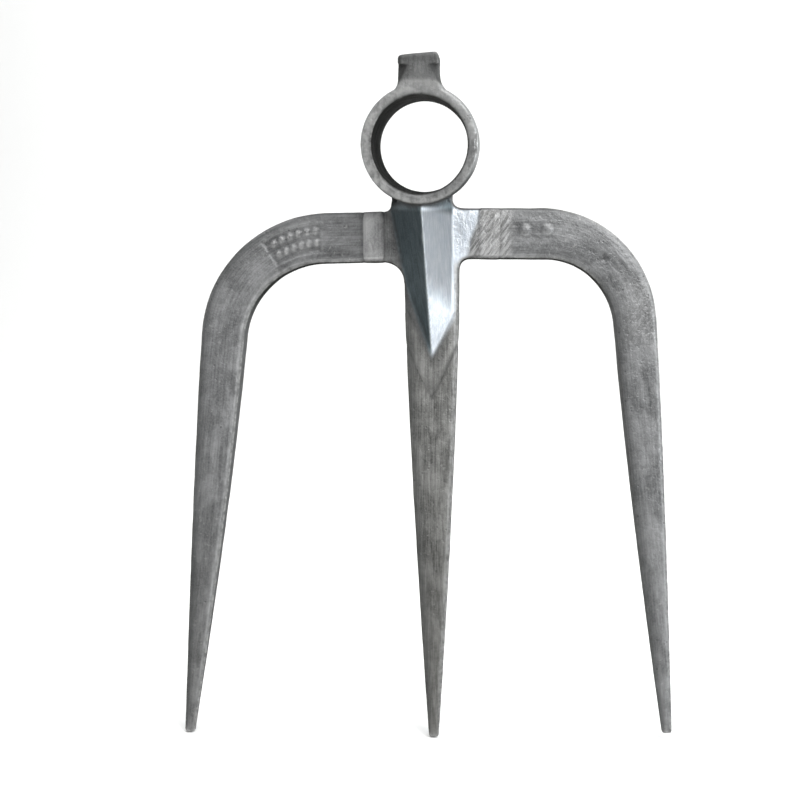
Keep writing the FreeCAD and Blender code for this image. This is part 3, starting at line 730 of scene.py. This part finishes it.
def finished(obj, material, grain_of):
    """Gives a cut piece the skin's finish numbers, its grain coordinates, its material and shading."""
    mesh = obj.data
    own = coordinates(mesh)
    nearest = np.array([skin_tree.find(point)[1] for point in own])
    for name, values in finish.items():
        attribute = mesh.attributes.new(name, "FLOAT", "POINT")
        attribute.data.foreach_set("value", values[nearest].astype(np.float32))
    local = (own - np.array(CROSSBAR)) @ turn
    attribute = mesh.attributes.new("grain", "FLOAT_VECTOR", "POINT")
    attribute.data.foreach_set("vector", grain_of(local).astype(np.float32).ravel())
    mesh.materials.clear()
    mesh.materials.append(material)
    mesh.polygons.foreach_set("use_smooth", [True] * len(mesh.polygons))
    mesh.set_sharp_from_angle(angle=math.radians(50))
    return obj


HUB_DARK, HUB_LIGHT = (0.135, 0.137, 0.137), (0.275, 0.278, 0.276)
forged_steel = steel("forged_steel", HUB_DARK, HUB_LIGHT, 0.48, stroke=0.14, seed=3.0)
eye_hub = finished(made["eye_hub"], forged_steel, lambda local: local)
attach(eye_hub, "root")
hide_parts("eye_hub")

# ==== Side tines ====================================================================================
# Two forged bars, each an arm, a bend and a tapered tine with a blunt point. Their grain runs along
# the bar and round the bend, and drawing it out has left marks that way. Welded to the hub's arms.

# In millimetres and degrees, in the tine frame: where the bend starts, its half axes, how far it turns,
# and how far the arm lies below the crossbar's middle.
SIDE_BARS = {
    "left_tine": dict(side=-1, reach=48.0, across=48.0, down=47.5, turn=84.4, drop=1.2, seed=11.0, dull=0.30),
    "right_tine": dict(side=1, reach=50.0, across=41.6, down=42.5, turn=84.8, drop=0.0, seed=23.0, dull=0.0),
}


def bar_path(bar):
    """Points along a bar's centre line: arm, elliptical bend and tine, drawn past the tine's end."""
    turns = np.radians(np.linspace(0, bar["turn"], 40))
    across, down = bar["across"], bar["down"]
    size = np.hypot(across * np.sin(turns), down * np.cos(turns))
    bend = np.stack([
        bar["reach"] + across ** 2 * np.sin(turns) / size,
        -down - bar["drop"] + down ** 2 * np.cos(turns) / size,
    ], 1)
    arm = np.stack([np.linspace(0, bar["reach"], 20, endpoint=False), np.full(20, -bar["drop"])], 1)
    along = np.linspace(5, 190, 60)[:, None] * np.array([math.cos(turns[-1]), -math.sin(turns[-1])])
    path = np.concatenate([arm, bend, bend[-1] + along]) * MM
    path[:, 0] *= bar["side"]
    return path


def grain_along(path):
    """Function that turns tine-frame points into across, through and along the bar."""
    steps = np.linalg.norm(np.diff(path, axis=0), axis=1)
    run = np.concatenate([[0], np.cumsum(steps)])
    directions = np.gradient(path, axis=0)
    directions /= np.linalg.norm(directions, axis=1)[:, None]

    def grain(local):
        flat = local[:, [0, 2]]
        nearest = np.concatenate([
            np.argmin(((part[:, None] - path[None]) ** 2).sum(2), axis=1)
            for part in np.array_split(flat, max(1, len(flat) // 20000))
        ])
        offset = flat - path[nearest]
        ahead = directions[nearest]
        along = run[nearest] + (offset * ahead).sum(1)
        across = offset[:, 0] * ahead[:, 1] - offset[:, 1] * ahead[:, 0]
        return np.stack([across, local[:, 1], along], 1)

    return grain


SIDE_DARK, SIDE_LIGHT = (0.135, 0.137, 0.138), (0.270, 0.273, 0.275)
for name, bar in SIDE_BARS.items():
    side_steel = steel(
        "forged_steel_" + name, SIDE_DARK, SIDE_LIGHT, 0.48, stroke=0.16, seed=bar["seed"], dull=bar["dull"],
    )
    tine = finished(made[name], side_steel, grain_along(bar_path(bar)))
    tine.name = name + "_forging"
    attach(tine, "root")
    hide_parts(name)

# ==== Centre tine ===================================================================================
# The lower part of the straight middle tine, forged in the same steel and cut to a V at its top,
# where it is welded to the stub under the gusset. It carries the deepest draw marks and pits.

CENTRE_DARK, CENTRE_LIGHT = (0.115, 0.115, 0.109), (0.27, 0.27, 0.26)
centre_steel = steel(
    "forged_steel_centre", CENTRE_DARK, CENTRE_LIGHT, 0.46, stroke=0.28, seed=31.0, dull=0.40,
)
centre_tine = finished(made["centre_tine"], centre_steel, lambda local: local)
centre_tine.name = "centre_tine_forging"
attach(centre_tine, "root")
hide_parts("centre_tine")

# ==== Weld beads ====================================================================================
# Six beads of weld metal, one in each face of the three joints. They were laid in V grooves and
# dressed nearly flush. Those on the arms were left lighter than the forgings, the others darkened.

WELD_DARK, WELD_LIGHT = (0.32, 0.32, 0.32), (0.50, 0.50, 0.50)
V_WELD_DARK, V_WELD_LIGHT = (0.14, 0.14, 0.135), (0.28, 0.28, 0.27)
arm_weld = steel("weld_steel", WELD_DARK, WELD_LIGHT, 0.46, stroke=0.12, seed=41.0)
centre_weld = steel("weld_steel_centre", V_WELD_DARK, V_WELD_LIGHT, 0.48, stroke=0.25, seed=47.0)
for name in grooves:
    weld = centre_weld if name.startswith("centre") else arm_weld
    bead = finished(made[name], weld, lambda local: local)
    bead.name = name + "_bead"
    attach(bead, "root")
    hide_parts(name)

# The whole skin, the cutting shapes and the steps of the cutting have done their work.
offcuts = [obj for obj in bpy.data.objects if obj.name.startswith("rest")]
for helper in [skin, *grooves.values(), *regions.values(), *offcuts]:
    bpy.data.objects.remove(helper)

# ==== Studio ========================================================================================
# A pale sweep of card that the points stand on. Soft lights stand high in front and to the right,
# a lit card at the right and a weak one at the left, and one more lights the sweep behind.

CARD_FRONT, CARD_BACK = -1.6, 0.75                  # the flat part's ends along Y, in metres
CARD_CURL = 0.5                                     # radius behind
CARD_HEIGHT = 1.9
CARD_HALF_WIDTH = 2.2


def sweep():
    """Card that lies flat in front and curls up behind, as one smooth strip."""
    ground = cad_low[2]
    steps = 16
    profile = [(CARD_FRONT, ground), (CARD_BACK, ground)]
    for i in range(1, steps + 1):
        angle = math.radians(90 * i / steps)
        profile.append((CARD_BACK + CARD_CURL * math.sin(angle), ground + CARD_CURL * (1 - math.cos(angle))))
    profile.append((CARD_BACK + CARD_CURL, ground + CARD_HEIGHT))
    bm = bmesh.new()
    rows = [[bm.verts.new((px, py, pz)) for px in (-CARD_HALF_WIDTH, CARD_HALF_WIDTH)] for py, pz in profile]
    for first, second in zip(rows, rows[1:]):
        bm.faces.new((first[0], first[1], second[1], second[0]))
    mesh = mesh_of(bm, "sweep")
    mesh.polygons.foreach_set("use_smooth", [True] * len(mesh.polygons))
    return new_object("sweep", mesh)


def card_material():
    material = bpy.data.materials.new("pale_card")
    material.use_nodes = True
    shader = material.node_tree.nodes["Principled BSDF"]
    shader.inputs["Base Color"].default_value = (0.86, 0.86, 0.85, 1)
    shader.inputs["Roughness"].default_value = 0.9
    shader.inputs["Specular IOR Level"].default_value = 0.1
    return material


def area_light(name, place, target, size, power, tint=(1, 1, 1)):
    """Soft rectangular light at a place, turned to a target."""
    light = bpy.data.lights.new(name, "AREA")
    light.shape = "RECTANGLE"
    light.size, light.size_y = size
    light.energy = power
    light.color = tint
    obj = new_object(name, light)
    obj.location = place
    obj.rotation_euler = (Vector(target) - Vector(place)).to_track_quat("-Z", "Y").to_euler()


floor = sweep()
floor.data.materials.append(card_material())
middle = (0, 0, -0.10)
area_light("key", (0.55, -0.50, 0.55), middle, (0.50, 0.50), 5.5)
area_light("front", (0.10, -0.85, 0.75), middle, (0.7, 0.4), 4.2)
area_light("right_card", (0.75, 0.05, -0.02), middle, (0.5, 0.5), 5.5, (0.93, 0.97, 1.0))
area_light("fill", (-0.7, -0.7, 0.3), middle, (0.7, 0.7), 2.4)
area_light("backdrop", (0, 0.1, 1.3), (0, 0.9, -0.2), (1.6, 0.5), 23)
world = bpy.data.worlds.new("room")
world.use_nodes = True
world.node_tree.nodes["Background"].inputs[0].default_value = (0.80, 0.82, 0.85, 1)
world.node_tree.nodes["Background"].inputs[1].default_value = 0.20
bpy.context.scene.world = world
bpy.context.scene.view_settings.view_transform = "Standard"

# The camera looks slightly down at the user's side, from right of the middle, and is held a bit askew.
CAMERA_AT = Vector((24.3, -486.9, -11.3)) * MM
LOOK = Vector((-0.0713, 0.9766, -0.2027)).normalized()
ROLL = math.radians(0.9)
right = LOOK.cross(Vector((0, 0, 1))).normalized()
up = right.cross(LOOK)
rolled_right = right * math.cos(ROLL) - up * math.sin(ROLL)
rolled_up = up * math.cos(ROLL) + right * math.sin(ROLL)
lens = bpy.data.cameras.new("camera")
lens.sensor_width = 36
lens.lens = 49.365
lens.clip_start = 0.01
camera = new_object("camera", lens)
basis = Matrix((rolled_right, rolled_up, -LOOK)).transposed()
camera.matrix_world = Matrix.Translation(CAMERA_AT) @ basis.to_4x4()
bpy.context.scene.camera = camera
